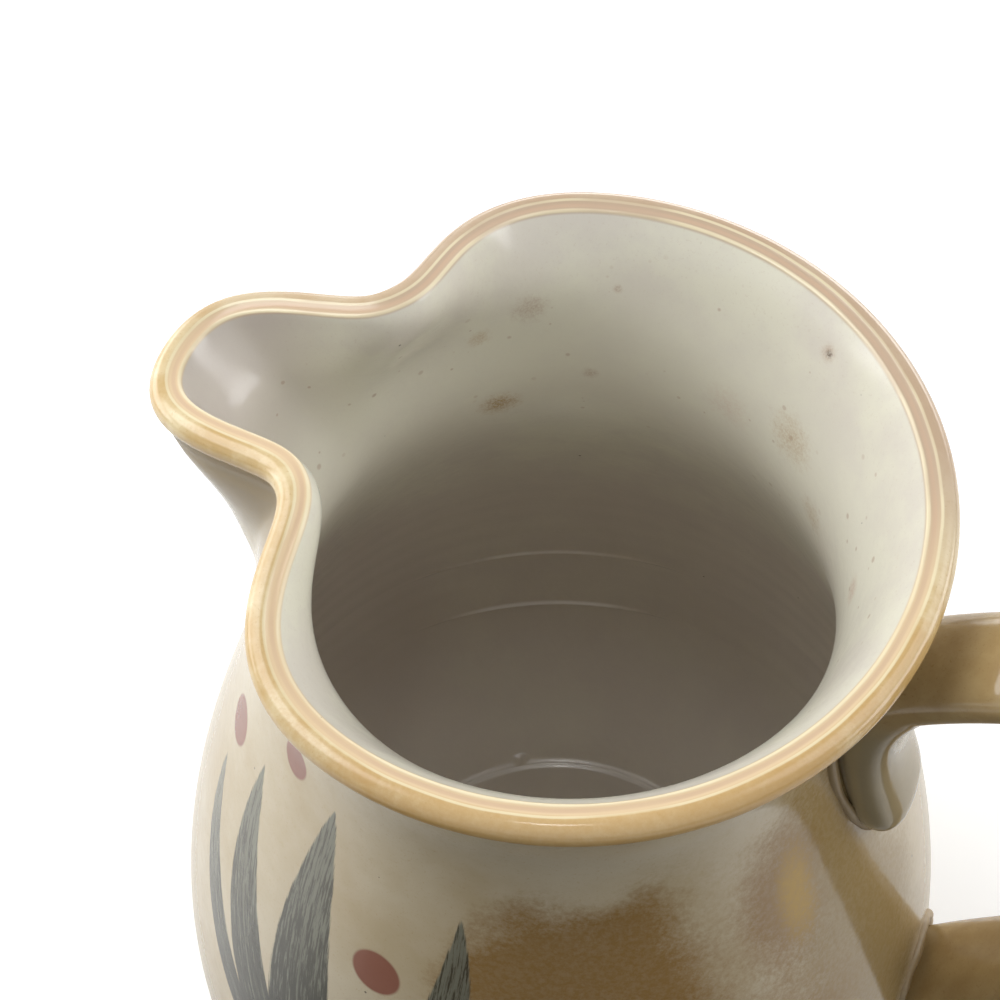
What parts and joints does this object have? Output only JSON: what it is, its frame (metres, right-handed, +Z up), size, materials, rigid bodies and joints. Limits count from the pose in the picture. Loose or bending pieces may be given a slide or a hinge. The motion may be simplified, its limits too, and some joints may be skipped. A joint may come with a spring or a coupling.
{
  "type": "pottery pitcher",
  "caption": "Wheel-thrown stoneware pitcher with a full belly, a flared rolled lip, a pinched and pulled pouring spout and a strap handle joined at the neck and belly.",
  "frame": {"origin": "middle of the flat base, on the surface that the pitcher stands on", "axes": "+Z up along the axis of the thrown body, +X towards the handle, -X towards the spout"},
  "size_m": [0.2011, 0.1514, 0.1972],
  "materials": {
    "body_glaze": "glossy honey-tan glaze over stoneware, off-white liner inside",
    "handle_glaze": "glossy honey-tan glaze over a pulled strap",
    "upper_slip_glaze": "glossy glaze pooled over joining slip",
    "lower_slip_glaze": "glossy glaze pooled over joining slip"
  },
  "bodies": {
    "root": {"thrown_body": "body_glaze", "strap_handle": "handle_glaze", "upper_joint_bead": "upper_slip_glaze", "lower_joint_bead": "lower_slip_glaze"}
  },
  "joints": []
}
